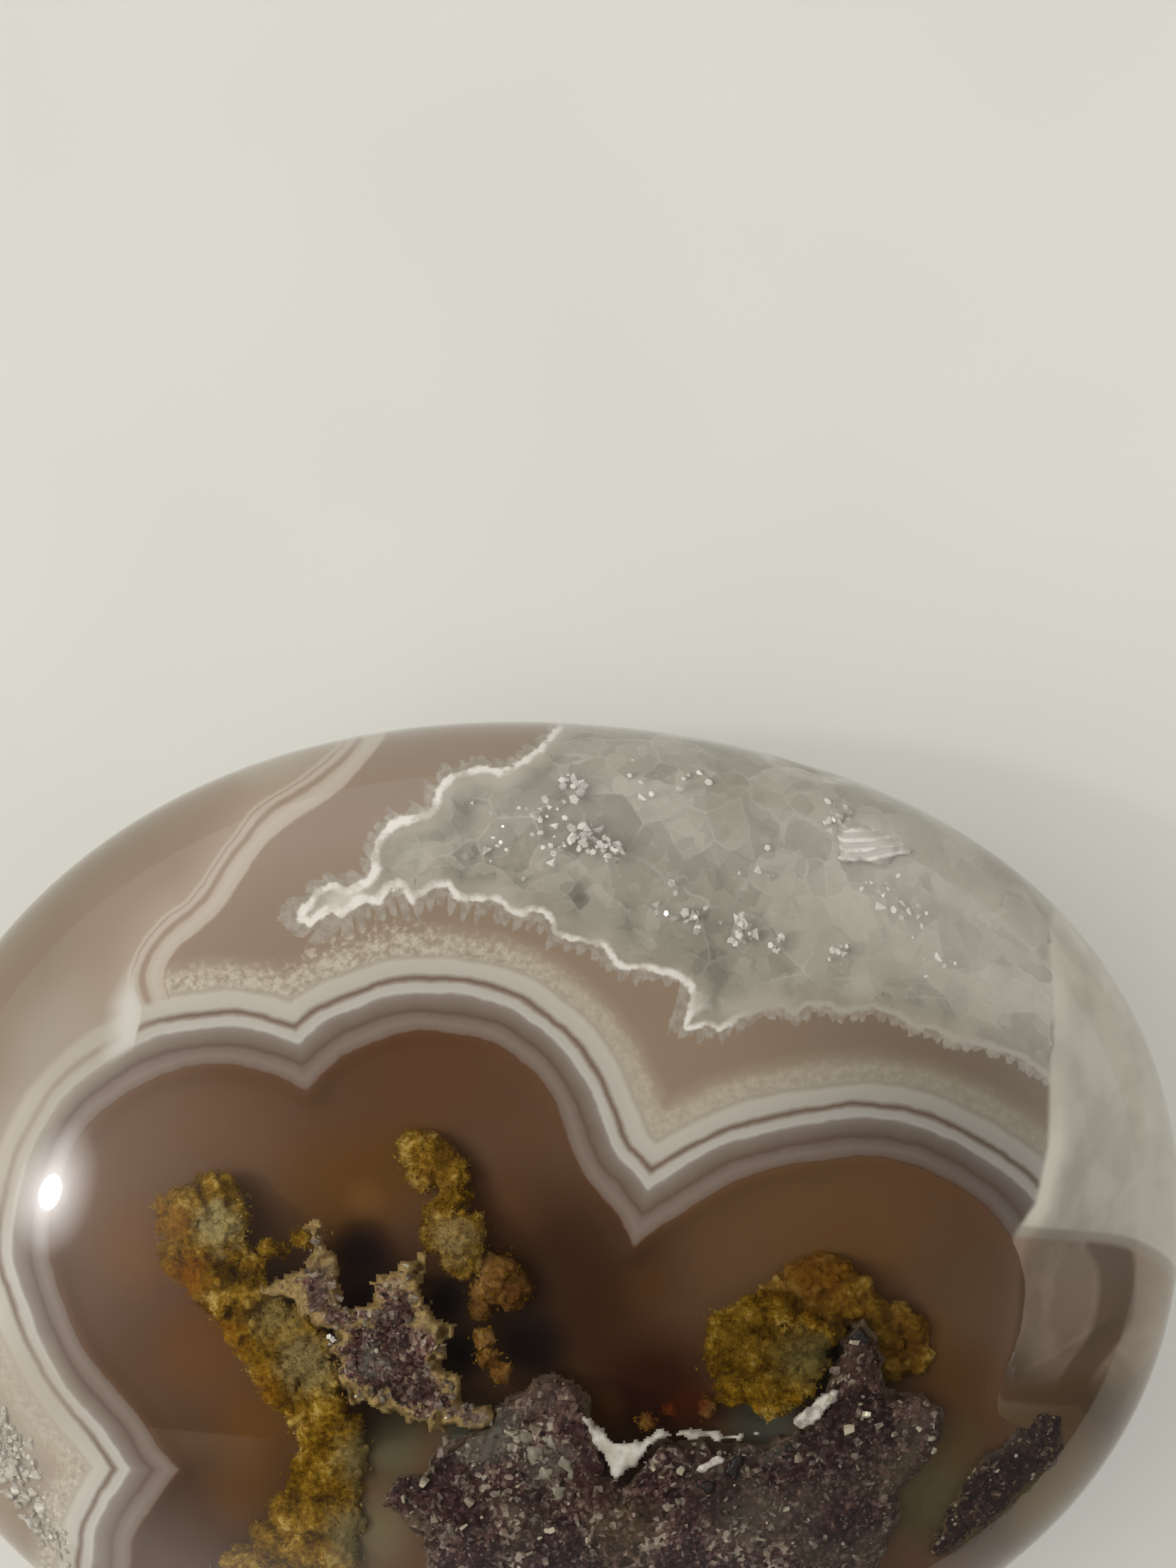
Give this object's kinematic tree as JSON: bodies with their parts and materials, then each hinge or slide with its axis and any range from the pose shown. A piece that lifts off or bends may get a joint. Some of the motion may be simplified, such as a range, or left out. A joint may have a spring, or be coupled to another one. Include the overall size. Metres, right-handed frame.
{
  "type": "moss agate palm stone",
  "caption": "Polished flattened oval palm stone of banded moss agate with a quartz pocket, domed on both sides, lying on a small ground flat.",
  "frame": {"origin": "middle of the bottom of the stone's box, on the flat ground on its back", "axes": "+Z out of the patterned face, +X along the long axis, with the quartz pocket on the +Y side"},
  "size_m": [0.0654, 0.0504, 0.023],
  "materials": {
    "polished_agate": "hand-polished translucent brown chalcedony with white agate bands, clear grey quartz and ochre moss inclusions"
  },
  "bodies": {
    "root": {"palm_stone": "polished_agate"}
  },
  "joints": []
}
